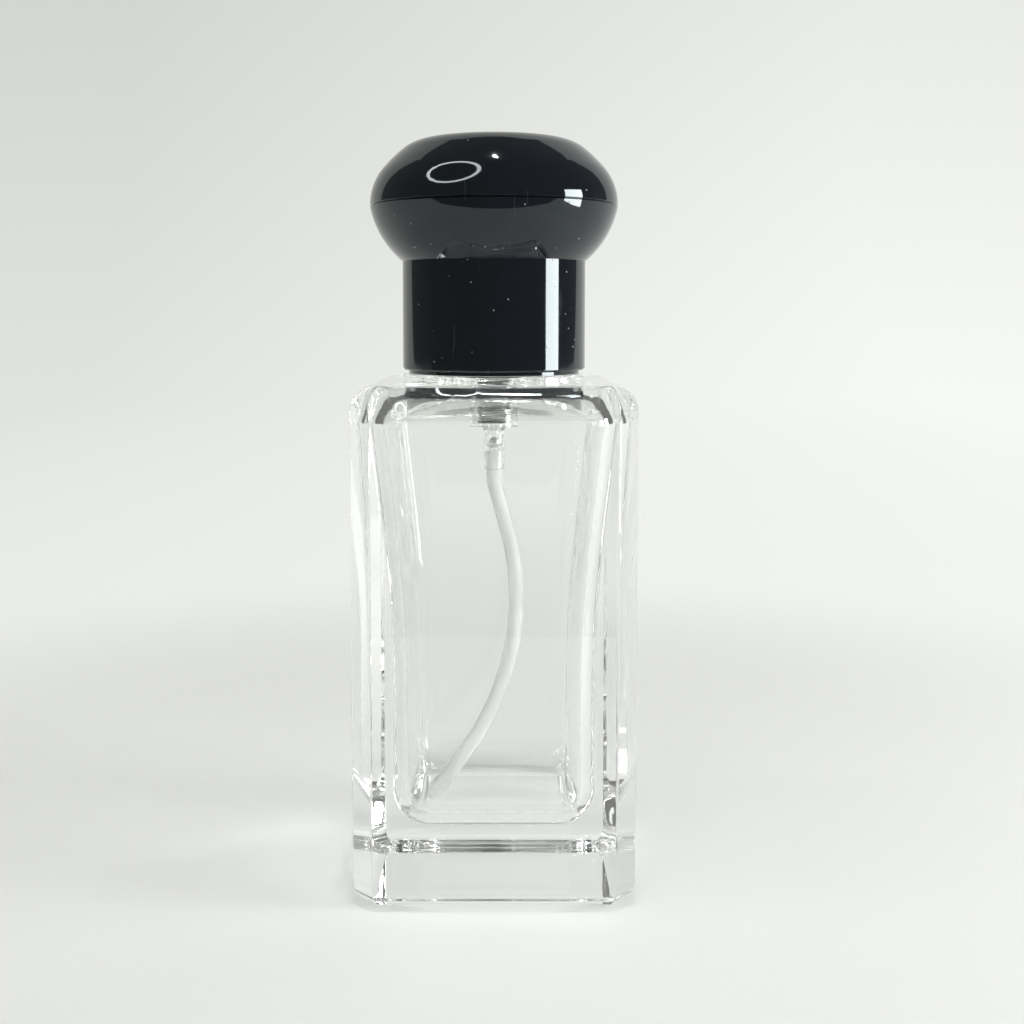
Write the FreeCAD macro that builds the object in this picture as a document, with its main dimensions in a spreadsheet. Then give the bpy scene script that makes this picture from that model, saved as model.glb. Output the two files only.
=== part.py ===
import FreeCAD, Part
import math
import os
from collections import namedtuple

import Sketcher

# Square glass spray bottle with a crimped pump and a mushroom cap, in millimetres.
# The origin is the middle of the base, +Z is up and the spray leaves towards -Y.

Vector = FreeCAD.Vector
Rotation = FreeCAD.Rotation
Placement = FreeCAD.Placement

DRIVING_SIZES = {
    # Glass, outside
    "body_width": 35.0,
    "body_depth": 35.0,
    "shoulder_height": 64.4,
    "corner_bevel": 2.5,
    "shoulder_round": 3.0,
    "heel_round": 2.8,
    "edge_round": 0.45,
    "step_radius": 12.0,
    "step_height": 1.0,
    "step_round": 0.4,
    "neck_height": 7.0,
    "bead_radius": 7.5,
    "bead_reach": 0.9,
    "bead_height": 3.2,
    "bead_bevel": 0.6,
    # Glass, inside: the wall is even in the lower half and thins out towards the shoulder
    "floor_thickness": 8.9,
    "wall_below": 4.9,
    "wall_above": 1.7,
    "bend_share": 0.479,
    "bend_softness": 0.108,
    "inner_corner_radius": 4.8,
    "floor_round": 4.6,
    "roof_round": 3.0,
    "roof_thickness": 1.3,
    "roof_slope_drop": 0.6,
    "bore_radius": 4.8,
    # Pump parts that stay with the glass
    "gasket_thickness": 0.8,
    "flange_inset": 0.3,
    "flange_thickness": 1.0,
    "barrel_gap": 0.5,
    "barrel_depth": 7.6,
    "chamber_radius": 3.1,
    "chamber_wall": 0.6,
    "chamber_taper": 1.0,
    "chamber_depth": 15.25,
    "chamber_floor_thickness": 0.7,
    "guide_bore": 3.5,
    "guide_depth": 3.0,
    "cone_radius": 1.9,
    "cone_height": 1.3,
    "socket_wall": 0.34,
    "socket_length": 4.95,
    "socket_grip": 2.4,
    "inlet_radius": 1.2,
    "cage_radius": 0.95,
    "cage_rise": 1.9,
    "cage_lip_radius": 0.68,
    "cage_lip_height": 0.35,
    "seat_radius": 0.5,
    "seat_thickness": 0.35,
    "vent_radius": 0.3,
    "vent_drop": 4.6,
    "ball_radius": 0.75,
    "turret_flange_thickness": 0.6,
    "turret_radius": 4.2,
    "turret_rise": 2.2,
    "turret_wall": 0.8,
    "ferrule_sheet": 0.4,
    "crimp_reach": 0.55,
    "crimp_height": 0.9,
    "collar_wall": 0.8,
    "collar_top_gap": 0.4,
    "collar_opening_gap": 0.5,
    "collar_foot_inset": 0.8,
    "collar_foot_height": 0.4,
    "collar_edge_bevel": 0.3,
    # Dip tube
    "tube_radius": 1.0,
    "tube_bore": 0.62,
    "tube_lean": 16.5,
    "tube_bend_radius": 5.0,
    "tube_first_run": 6.5,
    "tube_last_run": 6.5,
    "tube_end_rise": 1.07,
    "tube_end_inset": 3.1,
    "tube_plane_turn": 25.0,
    # Spring
    "spring_radius": 2.0,
    "wire_radius": 0.18,
    "spring_turns": 8.0,
    # Pump parts that move
    "stroke": 4.0,
    "stem_radius": 1.6,
    "stem_bore": 0.6,
    "stem_waist": 1.15,
    "stem_insertion": 2.5,
    "stem_port_radius": 0.3,
    "stem_port_rise": 1.4,
    "poppet_radius": 2.2,
    "poppet_thickness": 0.6,
    "poppet_pin_radius": 1.3,
    "poppet_pin_length": 2.4,
    "poppet_pin_bevel": 0.5,
    "poppet_spigot_length": 0.9,
    "piston_height": 2.4,
    "piston_lip": 0.5,
    "piston_waist": 2.1,
    "piston_play": 0.45,
    "actuator_radius": 6.4,
    "actuator_wall": 1.0,
    "actuator_dish": 0.5,
    "actuator_edge_round": 0.9,
    "actuator_hub_radius": 2.7,
    "actuator_hub_length": 1.0,
    "nozzle_floor": 0.6,
    "nozzle_roof": 0.8,
    "nozzle_radius": 2.0,
    "nozzle_depth": 2.3,
    "nozzle_wall": 0.7,
    "nozzle_rim_recess": 0.35,
    "orifice_radius": 0.2,
    "feed_radius": 0.5,
    # Cap
    "skirt_height": 14.06,
    "skirt_wall": 1.25,
    "skirt_edge_bevel": 0.25,
    "dome_radius": 16.13,
    "seam_rise": 7.15,
    "dome_lower_radius": 12.1,
    "dome_side_share": 0.4433,
    "dome_sphere_share": 1.1717,
    "dome_edge_share": 0.341,
    "dome_crown_share": 4.96,
    "dome_rise_share": 0.5549,
    "dome_wall": 1.7,
    "dome_side_wall": 1.83,
    "seam_bevel": 0.14,
    "seam_lip": 0.9,
    "tongue_length": 1.4,
    "ledge_rise": 0.7,
    "ledge_width": 0.9,
    "liner_wall": 1.4,
    "liner_flange_thickness": 0.6,
    "liner_foot_gap": 0.4,
    "rib_count": 6.0,
    "rib_depth": 0.48,
    "rib_width": 1.2,
    # Clearances
    "press_gap": 0.02,
    "running_gap": 0.05,
    "loose_gap": 0.1,
    "stop_gap": 0.2,
}

document = FreeCAD.newDocument("SprayBottle")
sheet = document.addObject("Spreadsheet::Sheet", "Sizes")


class Size:
    """A length that holds its number and the expression that ties it to the sheet."""

    def __init__(self, number, text):
        self.number = number
        self.text = text

    def joined(self, other, sign, number):
        return Size(number, f"({self.text} {sign} {as_size(other).text})")

    def __add__(self, other):
        return self.joined(other, "+", self.number + as_size(other).number)

    def __sub__(self, other):
        return self.joined(other, "-", self.number - as_size(other).number)

    def __mul__(self, other):
        return self.joined(other, "*", self.number * as_size(other).number)

    def __truediv__(self, other):
        return self.joined(other, "/", self.number / as_size(other).number)

    def __neg__(self):
        return Size(-self.number, f"(-1 * {self.text})")


def as_size(value):
    return value if isinstance(value, Size) else Size(float(value), repr(float(value)))


def root(size):
    return Size(math.sqrt(size.number), f"sqrt({size.text})")


def fill_sheet():
    """Write the driving sizes into the sheet and return them by name."""
    found = {}
    for row, (alias, number) in enumerate(DRIVING_SIZES.items(), start=1):
        sheet.set(f"A{row}", alias)
        sheet.set(f"B{row}", str(number))
        sheet.setAlias(f"B{row}", alias)
        found[alias] = Size(number, f"Sizes.{alias}")
    document.recompute()
    return namedtuple("Sizes", found)(**found)


sizes = fill_sheet()

Step = namedtuple("Step", "x y radius turn")
Stretch = namedtuple("Stretch", "geometry first last")

# Sizes under which a point counts as lying on an axis, an edge as lying on a level, a cut as empty
ON_AXIS = 1e-9
TOUCH = 1e-3
LEAST_CUT = 1e-6


def line_to(x, y):
    return Step(as_size(x), as_size(y), None, 0)


def left_arc(x, y, radius):
    """An arc of under half a circle that turns left on its way to the point."""
    return Step(as_size(x), as_size(y), as_size(radius), 1)


def right_arc(x, y, radius):
    return Step(as_size(x), as_size(y), as_size(radius), -1)


def bind(item, name, size):
    item.setExpression(name, size.text)


def origin_plane(body, role):
    return next(item for item in body.Origin.OriginFeatures if item.Role == role)


def new_body(label):
    body = document.addObject("PartDesign::Body", label)
    body.Label = label
    return body


def new_sketch(body, name, role, offset=None):
    """A sketch on one of the body's own planes, moved along the plane's normal by offset."""
    sketch = body.newObject("Sketcher::SketchObject", name)
    sketch.AttachmentSupport = [(origin_plane(body, role), "")]
    sketch.MapMode = "FlatFace"
    if offset is not None:
        sketch.AttachmentOffset = Placement(Vector(0, 0, offset.number), Rotation())
        bind(sketch, "AttachmentOffset.Base.z", offset)
    return sketch


def arc_geometry(start, step):
    """The arc from start to the step, and which of its ends come first and last on the way."""
    begin = Vector(start.x.number, start.y.number, 0)
    end = Vector(step.x.number, step.y.number, 0)
    chord = end - begin
    radius = step.radius.number
    rise = math.sqrt(max(radius ** 2 - (chord.Length / 2) ** 2, 0))
    left = Vector(-chord.y, chord.x, 0).normalize()
    centre = (begin + end) * 0.5 + left * (rise * step.turn)
    ends = (begin, end) if step.turn > 0 else (end, begin)
    angles = [math.atan2(point.y - centre.y, point.x - centre.x) for point in ends]
    if angles[1] < angles[0]:
        angles[1] += 2 * math.pi
    arc = Part.ArcOfCircle(Part.Circle(centre, Vector(0, 0, 1), radius), angles[0], angles[1])
    return (arc, 1, 2) if step.turn > 0 else (arc, 2, 1)


def tie_point(sketch, geometry, end, step):
    """Fix a point of the outline to its two sizes, measured from the sketch's origin."""
    for kind, size, axis in (("DistanceX", step.x, -2), ("DistanceY", step.y, -1)):
        if abs(size.number) < ON_AXIS:
            sketch.addConstraint(Sketcher.Constraint("PointOnObject", geometry, end, axis))
            continue
        rule = Sketcher.Constraint(kind, -1, 1, geometry, end, size.number)
        bind(sketch, f"Constraints[{sketch.addConstraint(rule)}]", size)


def draw_outline(sketch, steps):
    """A closed outline through the steps, with every point and radius tied to the sheet."""
    stretches = []
    for index, step in enumerate(steps):
        start = steps[index - 1]
        if step.radius is None:
            begin = Vector(start.x.number, start.y.number, 0)
            end = Vector(step.x.number, step.y.number, 0)
            stretches.append(Stretch(sketch.addGeometry(Part.LineSegment(begin, end)), 1, 2))
        else:
            arc, first, last = arc_geometry(start, step)
            stretches.append(Stretch(sketch.addGeometry(arc), first, last))
    for index, step in enumerate(steps):
        here = stretches[index]
        before = stretches[index - 1]
        meeting = Sketcher.Constraint("Coincident", before.geometry, before.last, here.geometry, here.first)
        sketch.addConstraint(meeting)
        tie_point(sketch, here.geometry, here.last, step)
        if step.radius is not None:
            rule = Sketcher.Constraint("Radius", here.geometry, step.radius.number)
            bind(sketch, f"Constraints[{sketch.addConstraint(rule)}]", step.radius)


def draw_circle(sketch, x, y, radius):
    centre = Vector(as_size(x).number, as_size(y).number, 0)
    geometry = sketch.addGeometry(Part.Circle(centre, Vector(0, 0, 1), radius.number))
    tie_point(sketch, geometry, 3, Step(as_size(x), as_size(y), None, 0))
    rule = Sketcher.Constraint("Radius", geometry, radius.number)
    bind(sketch, f"Constraints[{sketch.addConstraint(rule)}]", radius)


def revolve(body, name, steps):
    """Turn an outline of radius and height steps about the body's Z axis."""
    sketch = new_sketch(body, f"{name}_outline", "XZ_Plane")
    draw_outline(sketch, steps)
    feature = body.newObject("PartDesign::Revolution", name)
    feature.Profile = sketch
    feature.ReferenceAxis = (sketch, ["V_Axis"])
    feature.Angle = 360
    document.recompute()
    return feature


def turned_body(label, steps):
    body = new_body(label)
    revolve(body, f"{label}_turned", steps)
    return body


def must_have_cut(feature, before):
    if feature.Shape.Volume > before - LEAST_CUT:
        raise RuntimeError(f"{feature.Name} cut nothing")


def cross_hole(body, sketch, name):
    """Cut a sketch through the whole body, to both sides of its plane."""
    before = body.Tip.Shape.Volume
    feature = body.newObject("PartDesign::Pocket", name)
    feature.Profile = sketch
    feature.Type = "ThroughAll"
    feature.Midplane = True
    document.recompute()
    must_have_cut(feature, before)


def front_hole(body, sketch, name, length):
    """Cut a sketch out of the body from its plane towards the front."""
    before = body.Tip.Shape.Volume
    feature = body.newObject("PartDesign::Pocket", name)
    feature.Profile = sketch
    feature.Reversed = True
    feature.Length = length.number
    bind(feature, "Length", length)
    document.recompute()
    must_have_cut(feature, before)


def edge_names(shape, wanted):
    numbered = enumerate(shape.Edges, start=1)
    return [f"Edge{number}" for number, edge in numbered if wanted(edge.BoundBox)]


def fillet(body, name, radius, wanted):
    """Round the edges of the body's last feature whose boxes the test accepts."""
    base = body.Tip
    edges = edge_names(base.Shape, wanted)
    if not edges:
        raise RuntimeError(f"{name} found no edge")
    feature = body.newObject("PartDesign::Fillet", name)
    feature.Base = (base, edges)
    feature.Radius = radius.number
    bind(feature, "Radius", radius)
    document.recompute()
    return feature


# Heights that several pieces share, from the base up
step_top = sizes.shoulder_height + sizes.step_height
neck_top = step_top + sizes.neck_height
gasket_foot = neck_top + sizes.press_gap
gasket_top = gasket_foot + sizes.gasket_thickness
flange_top = gasket_top + sizes.flange_thickness
turret_seat_top = flange_top + sizes.turret_flange_thickness
ferrule_top = turret_seat_top + sizes.ferrule_sheet
turret_top = ferrule_top + sizes.turret_rise
collar_foot = step_top + sizes.press_gap
collar_foot_top = collar_foot + sizes.collar_foot_height
cap_foot = collar_foot_top + sizes.running_gap
skirt_top = cap_foot + sizes.skirt_height
seam_height = skirt_top + sizes.seam_rise
cap_top = seam_height + sizes.dome_radius * sizes.dome_rise_share
actuator_foot = ferrule_top + sizes.stroke + sizes.stop_gap
collar_top = actuator_foot - sizes.collar_top_gap
hub_foot = turret_top + sizes.stroke + sizes.stop_gap
hollow_top = hub_foot + sizes.actuator_hub_length
stem_top = hub_foot + sizes.stem_insertion
nozzle_height = hollow_top + sizes.nozzle_floor + sizes.nozzle_radius
actuator_top = nozzle_height + sizes.nozzle_radius + sizes.nozzle_roof
guide_foot = flange_top - sizes.guide_depth
piston_foot = guide_foot - sizes.stop_gap - sizes.piston_play - sizes.piston_height
poppet_top = piston_foot - sizes.running_gap
poppet_foot = poppet_top - sizes.poppet_thickness
stem_shoulder = piston_foot + sizes.piston_height + sizes.piston_play + sizes.running_gap
chamber_floor = flange_top - sizes.chamber_depth
chamber_foot = chamber_floor - sizes.chamber_floor_thickness
socket_top = chamber_foot - sizes.cone_height
socket_foot = socket_top - sizes.socket_length
grip_top = socket_foot + sizes.socket_grip
seat_top = grip_top + sizes.seat_thickness
neck_radius = sizes.bead_radius - sizes.bead_reach
barrel_radius = sizes.bore_radius - sizes.barrel_gap
chamber_bore = sizes.chamber_radius - sizes.chamber_wall
socket_bore = sizes.tube_radius + sizes.press_gap
flange_radius = sizes.bead_radius - sizes.flange_inset
ferrule_inside = sizes.bead_radius + sizes.running_gap
ferrule_outside = ferrule_inside + sizes.ferrule_sheet
collar_inside = ferrule_outside + sizes.running_gap
collar_outside = collar_inside + sizes.collar_wall
liner_inside = collar_outside + sizes.rib_depth
liner_outside = liner_inside + sizes.liner_wall
skirt_inside = liner_outside + sizes.press_gap
skirt_radius = skirt_inside + sizes.skirt_wall
dome_inside = sizes.dome_radius - sizes.dome_side_wall


# How many steps the plans of the hollow make from its floor to its roof
CAVITY_LEVELS = 9


def bevelled_square():
    """The bottle's plan: a rectangle with its four corners cut off."""
    half_x = sizes.body_width / 2
    half_y = sizes.body_depth / 2
    in_x = half_x - sizes.corner_bevel
    in_y = half_y - sizes.corner_bevel
    return [
        line_to(half_x, -in_y), line_to(half_x, in_y),
        line_to(in_x, half_y), line_to(-in_x, half_y),
        line_to(-half_x, in_y), line_to(-half_x, -in_y),
        line_to(-in_x, -half_y), line_to(in_x, -half_y),
    ]


def wall_at(share):
    """How thick the glass is at a share of the hollow's height: even below, thinner above a soft bend."""

    def bend(place):
        past = as_size(place) - sizes.bend_share
        return past + root(past * past + sizes.bend_softness * sizes.bend_softness)

    thinning = sizes.wall_below - sizes.wall_above
    return sizes.wall_below - thinning * bend(share) / bend(1)


def rounded_square(wall):
    """The cavity's plan at one height, where the glass is as thick as wall."""
    half_x = sizes.body_width / 2 - wall
    half_y = sizes.body_depth / 2 - wall
    corner = sizes.inner_corner_radius
    in_x = half_x - corner
    in_y = half_y - corner
    return [
        line_to(half_x, in_y), left_arc(in_x, half_y, corner),
        line_to(-in_x, half_y), left_arc(-half_x, in_y, corner),
        line_to(-half_x, -in_y), left_arc(-in_x, -half_y, corner),
        line_to(in_x, -half_y), left_arc(half_x, -in_y, corner),
    ]


def glass_outside():
    body = new_body("glass_outside")
    plan = new_sketch(body, "glass_plan", "XY_Plane")
    draw_outline(plan, bevelled_square())
    pad = body.newObject("PartDesign::Pad", "glass_block")
    pad.Profile = plan
    pad.Length = sizes.shoulder_height.number
    bind(pad, "Length", sizes.shoulder_height)
    document.recompute()
    shoulder = sizes.shoulder_height.number
    fillet(body, "shoulder_edges", sizes.shoulder_round, lambda box: box.ZMin > shoulder - TOUCH)
    fillet(body, "heel_edges", sizes.heel_round, lambda box: box.ZMax < TOUCH)
    fillet(body, "upright_edges", sizes.edge_round, lambda box: box.ZLength > shoulder / 2)
    bead_foot = neck_top - sizes.bead_height
    bead_slope = sizes.bead_radius - neck_radius
    root_height = sizes.shoulder_height - sizes.roof_thickness
    revolve(body, "neck", [
        line_to(0, root_height),
        line_to(sizes.step_radius, root_height),
        line_to(sizes.step_radius, step_top - sizes.step_round),
        left_arc(sizes.step_radius - sizes.step_round, step_top, sizes.step_round),
        line_to(neck_radius, step_top),
        line_to(neck_radius, bead_foot),
        line_to(sizes.bead_radius, bead_foot + bead_slope),
        line_to(sizes.bead_radius, neck_top - sizes.bead_bevel),
        line_to(sizes.bead_radius - sizes.bead_bevel, neck_top),
        line_to(0, neck_top),
    ])
    return body


def glass_inside():
    """The hollow: walls lofted through rounded squares, a gently coned roof and the neck's bore."""
    body = new_body("glass_inside")
    roof_top = sizes.shoulder_height - sizes.roof_thickness
    hollow = sizes.shoulder_height - sizes.floor_thickness
    plans = []
    for level in range(CAVITY_LEVELS + 1):
        share = level / CAVITY_LEVELS
        plan = new_sketch(body, f"cavity_level_{level}", "XY_Plane", sizes.floor_thickness + hollow * share)
        draw_outline(plan, rounded_square(wall_at(share)))
        plans.append(plan)
    walls = body.newObject("PartDesign::AdditiveLoft", "cavity_walls")
    walls.Profile = plans[0]
    walls.Sections = plans[1:]
    document.recompute()
    # The roof falls from the neck outwards, as far as a circle round the plan's corners
    reach = sizes.body_width / 2 + sizes.body_depth / 2
    rim = roof_top - sizes.roof_slope_drop
    ceiling = new_sketch(body, "ceiling_outline", "XZ_Plane")
    draw_outline(ceiling, [
        line_to(0, roof_top), line_to(reach, rim),
        line_to(reach, sizes.shoulder_height + reach), line_to(0, sizes.shoulder_height + reach),
    ])
    before = walls.Shape.Volume
    cut = body.newObject("PartDesign::Groove", "ceiling")
    cut.Profile = ceiling
    cut.ReferenceAxis = (ceiling, ["V_Axis"])
    cut.Angle = 360
    document.recompute()
    must_have_cut(cut, before)
    floor = sizes.floor_thickness.number
    fillet(body, "floor_edges", sizes.floor_round, lambda box: box.ZMax < floor + TOUCH)
    wall_reach = min(sizes.body_width.number, sizes.body_depth.number) / 2 - sizes.wall_above.number
    corner_reach = wall_reach - sizes.inner_corner_radius.number
    roof_level = roof_top.number - sizes.roof_slope_drop.number

    def at_roof_edge(box):
        outermost = max(abs(box.XMin), abs(box.XMax), abs(box.YMin), abs(box.YMax))
        return box.ZMin > roof_level and box.ZMax < roof_top.number - TOUCH and outermost > corner_reach

    fillet(body, "roof_edges", sizes.roof_round, at_roof_edge)
    revolve(body, "neck_bore", [
        line_to(0, rim), line_to(sizes.bore_radius, rim),
        line_to(sizes.bore_radius, neck_top + sizes.neck_height), line_to(0, neck_top + sizes.neck_height),
    ])
    return body


def bottle():
    outside = glass_outside()
    inside = glass_inside()
    glass = document.addObject("Part::Cut", "bottle")
    glass.Base = outside
    glass.Tool = inside
    document.recompute()
    return glass


def neck_gasket():
    inner = barrel_radius + sizes.loose_gap
    return turned_body("neck_gasket", [
        line_to(inner, gasket_foot), line_to(flange_radius, gasket_foot),
        line_to(flange_radius, gasket_top), line_to(inner, gasket_top),
    ])


def pump_housing():
    """Flange, barrel, spring chamber, ball cage and dip-tube socket in one moulding."""
    barrel_foot = gasket_top - sizes.barrel_depth
    cage_top = seat_top + sizes.cage_rise
    seat_rise = sizes.cage_radius - sizes.seat_radius
    body = turned_body("pump_housing", [
        line_to(sizes.guide_bore, flange_top),
        line_to(sizes.guide_bore, guide_foot),
        line_to(chamber_bore, guide_foot),
        line_to(chamber_bore, chamber_floor),
        line_to(sizes.inlet_radius, chamber_floor),
        line_to(sizes.inlet_radius, cage_top + sizes.cage_lip_height),
        line_to(sizes.cage_lip_radius, cage_top + sizes.cage_lip_height),
        line_to(sizes.cage_lip_radius, cage_top),
        line_to(sizes.cage_radius, cage_top),
        line_to(sizes.cage_radius, seat_top + seat_rise),
        line_to(sizes.seat_radius, seat_top),
        line_to(sizes.seat_radius, grip_top),
        line_to(socket_bore, grip_top),
        line_to(socket_bore, socket_foot),
        line_to(socket_bore + sizes.socket_wall, socket_foot),
        line_to(socket_bore + sizes.socket_wall, socket_top),
        line_to(sizes.cone_radius, chamber_foot),
        line_to(sizes.chamber_radius, chamber_foot),
        line_to(sizes.chamber_radius, barrel_foot),
        line_to(barrel_radius, barrel_foot + sizes.chamber_taper),
        line_to(barrel_radius, gasket_top),
        line_to(flange_radius, gasket_top),
        line_to(flange_radius, flange_top),
    ])
    vents = new_sketch(body, "vent_outline", "XZ_Plane")
    draw_circle(vents, 0, flange_top - sizes.vent_drop, sizes.vent_radius)
    cross_hole(body, vents, "vents")
    return body


def turret():
    """The lid of the housing: a plug that stops the piston and a tube that guides the stem."""
    bore = sizes.stem_radius + sizes.running_gap
    plug = sizes.guide_bore - sizes.press_gap
    return turned_body("turret", [
        line_to(bore, guide_foot),
        line_to(plug, guide_foot),
        line_to(plug, flange_top),
        line_to(flange_radius, flange_top),
        line_to(flange_radius, turret_seat_top),
        line_to(sizes.turret_radius, turret_seat_top),
        line_to(sizes.turret_radius, turret_top - sizes.turret_wall),
        line_to(sizes.turret_radius - sizes.turret_wall, turret_top),
        line_to(bore, turret_top),
    ])


def ferrule():
    """A thin cup over neck and pump, its lower edge pressed in under the bead."""
    hole = sizes.turret_radius + sizes.loose_gap
    bead_foot = neck_top - sizes.bead_height
    crimp_top = bead_foot - sizes.running_gap
    crimp_foot = crimp_top - sizes.crimp_height
    sheet_gauge = sizes.ferrule_sheet
    return turned_body("ferrule", [
        line_to(hole, turret_seat_top),
        line_to(ferrule_inside, turret_seat_top),
        line_to(ferrule_inside, crimp_top),
        line_to(ferrule_inside - sizes.crimp_reach, crimp_foot),
        line_to(ferrule_inside - sizes.crimp_reach + sheet_gauge, crimp_foot),
        line_to(ferrule_outside, crimp_top),
        line_to(ferrule_outside, ferrule_top - sheet_gauge),
        line_to(ferrule_outside - sheet_gauge, ferrule_top),
        line_to(hole, ferrule_top),
    ])


def collar():
    """Black sleeve over the ferrule, with a foot ring for the cap and a well for the button."""
    opening = sizes.actuator_radius + sizes.collar_opening_gap
    edge = sizes.collar_edge_bevel
    foot_radius = skirt_radius - sizes.collar_foot_inset
    return turned_body("collar", [
        line_to(collar_inside, collar_foot),
        line_to(foot_radius, collar_foot),
        line_to(foot_radius, collar_foot_top),
        line_to(collar_outside, collar_foot_top),
        line_to(collar_outside, collar_top - edge),
        line_to(collar_outside - edge, collar_top),
        line_to(opening, collar_top),
        line_to(opening, ferrule_top),
        line_to(collar_inside, ferrule_top),
    ])


def tube_places(top, bend_top, reach, end_height):
    """The tube line's corner points and the centre of its long sweep, in its own upright plane.

    The line falls straight, bends to its lean, runs on, sweeps back and ends in a straight run.
    The sweep is the one circle that meets the first run and leaves the last run as long as given.
    """
    lean = math.radians(sizes.tube_lean.number)
    bend = sizes.tube_bend_radius.number
    last_run = sizes.tube_last_run.number
    first = Vector(0, top.number, 0)
    second = Vector(0, bend_top.number, 0)
    third = second + Vector(1 - math.cos(lean), -math.sin(lean), 0) * bend
    fourth = third + Vector(math.sin(lean), -math.cos(lean), 0) * sizes.tube_first_run.number
    sixth = Vector(-reach.number, end_height.number, 0)
    outward = Vector(math.cos(lean), math.sin(lean), 0)
    across = sixth - fourth
    sweep = (last_run ** 2 - across.dot(across)) / (2 * across.dot(outward))
    centre = fourth - outward * sweep
    # The last run touches the sweep, so the two make a right angle at the fifth point
    spoke = sixth - centre
    turn = math.atan2(last_run, sweep)
    fifth = centre + Rotation(Vector(0, 0, 1), math.degrees(turn)).multVec(spoke.normalize()) * sweep
    return first, second, third, fourth, fifth, sixth, centre, sweep


def draw_tube_line(sketch):
    """Straight runs joined by tangent arcs, tied to the socket, the floor and the wall."""
    bend = sizes.tube_bend_radius
    lean = math.radians(sizes.tube_lean.number)
    top = grip_top - sizes.stop_gap
    bend_top = socket_foot - sizes.tube_radius
    reach = sizes.body_width / 2 - sizes.wall_below - sizes.tube_end_inset
    end_height = sizes.floor_thickness + sizes.tube_end_rise
    places = tube_places(top, bend_top, reach, end_height)
    first, second, third, fourth, fifth, sixth, centre, sweep = places
    end_spoke = fifth - centre
    flat = Vector(0, 0, 1)
    bend_circle = Part.Circle(second + Vector(bend.number, 0, 0), flat, bend.number)
    sweep_circle = Part.Circle(centre, flat, sweep)
    sketch.addGeometry([
        Part.LineSegment(first, second),
        Part.ArcOfCircle(bend_circle, math.pi, math.pi + lean),
        Part.LineSegment(third, fourth),
        Part.ArcOfCircle(sweep_circle, math.atan2(end_spoke.y, end_spoke.x), lean),
        Part.LineSegment(fifth, sixth),
    ])
    for joint in ((0, 2, 1, 1), (1, 2, 2, 1), (2, 2, 3, 2), (3, 1, 4, 1)):
        sketch.addConstraint(Sketcher.Constraint("Tangent", *joint))
    sketch.addConstraint(Sketcher.Constraint("PointOnObject", 0, 1, -2))
    sketch.addConstraint(Sketcher.Constraint("Vertical", 0))
    slope = Size(lean - math.pi / 2, "(Sizes.tube_lean - 90) * 1 deg")
    rules = [
        (Sketcher.Constraint("DistanceY", -1, 1, 0, 1, top.number), top),
        (Sketcher.Constraint("DistanceY", -1, 1, 0, 2, bend_top.number), bend_top),
        (Sketcher.Constraint("Radius", 1, bend.number), bend),
        (Sketcher.Constraint("Distance", 2, sizes.tube_first_run.number), sizes.tube_first_run),
        (Sketcher.Constraint("Angle", 2, slope.number), slope),
        (Sketcher.Constraint("Distance", 4, sizes.tube_last_run.number), sizes.tube_last_run),
        (Sketcher.Constraint("DistanceX", -1, 1, 4, 2, -reach.number), -reach),
        (Sketcher.Constraint("DistanceY", -1, 1, 4, 2, end_height.number), end_height),
    ]
    for rule, size in rules:
        bind(sketch, f"Constraints[{sketch.addConstraint(rule)}]", size)
    print(f"dip tube bend radii {bend.number:.1f} and {sweep:.1f} mm")


def dip_tube():
    """A ring swept along the tube's line, turned towards the front left corner."""
    body = new_body("dip_tube")
    line = new_sketch(body, "tube_line", "XZ_Plane")
    draw_tube_line(line)
    ring = new_sketch(body, "tube_ring", "XY_Plane", grip_top - sizes.stop_gap)
    draw_circle(ring, 0, 0, sizes.tube_radius)
    draw_circle(ring, 0, 0, sizes.tube_bore)
    tube = body.newObject("PartDesign::AdditivePipe", "tube")
    tube.Profile = ring
    tube.Spine = line
    body.Placement = Placement(Vector(), Rotation(Vector(0, 0, 1), sizes.tube_plane_turn.number))
    body.setExpression("Placement.Rotation.Angle", "Sizes.tube_plane_turn * 1 deg")
    document.recompute()
    section = math.pi * (sizes.tube_radius.number ** 2 - sizes.tube_bore.number ** 2)
    length = line.Shape.Length
    print(f"dip tube volume {tube.Shape.Volume:.3f}, section times length {section * length:.3f} mm3")
    return body


def inlet_ball():
    """The ball rests on its 45 degree seat, a touch above it."""
    ball = document.addObject("Part::Sphere", "inlet_ball")
    ball.Radius = sizes.ball_radius.number
    bind(ball, "Radius", sizes.ball_radius)
    centre = seat_top - sizes.seat_radius + sizes.ball_radius * root(as_size(2)) + sizes.press_gap
    ball.Placement = Placement(Vector(0, 0, centre.number), Rotation())
    bind(ball, "Placement.Base.z", centre)
    return ball


WIRE_FLATS = 8


def biarc(start, start_way, end, end_way):
    """Two arcs that leave start and reach end in the given directions."""
    chord = end - start
    ways = start_way + end_way
    square = ways.dot(ways) - 4
    middle_term = chord.dot(ways)
    reach = (middle_term - math.sqrt(middle_term ** 2 - square * chord.dot(chord))) / square
    first_corner = start + start_way * reach
    last_corner = end - end_way * reach
    joint = (first_corner + last_corner) * 0.5
    arcs = []
    for begin, corner, finish in ((start, first_corner, joint), (joint, last_corner, end)):
        half = (finish - begin).Length / 2
        base = (begin + finish) * 0.5
        angle = math.acos(half / (corner - begin).Length)
        crown = base + (corner - base).normalize() * (half * math.tan(angle / 2))
        arcs.append(Part.Arc(begin, crown, finish).toShape())
    return arcs


def wire_section(centre, along, outward):
    """The spring wire's outline, with eight narrow flats in place of a round to keep its faces few."""
    upward = along.cross(outward).normalize()
    corners = []
    for corner in range(WIRE_FLATS + 1):
        angle = 2 * math.pi * corner / WIRE_FLATS
        spoke = outward * math.cos(angle) + upward * math.sin(angle)
        corners.append(centre + spoke * sizes.wire_radius.number)
    return Part.makePolygon(corners)


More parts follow.
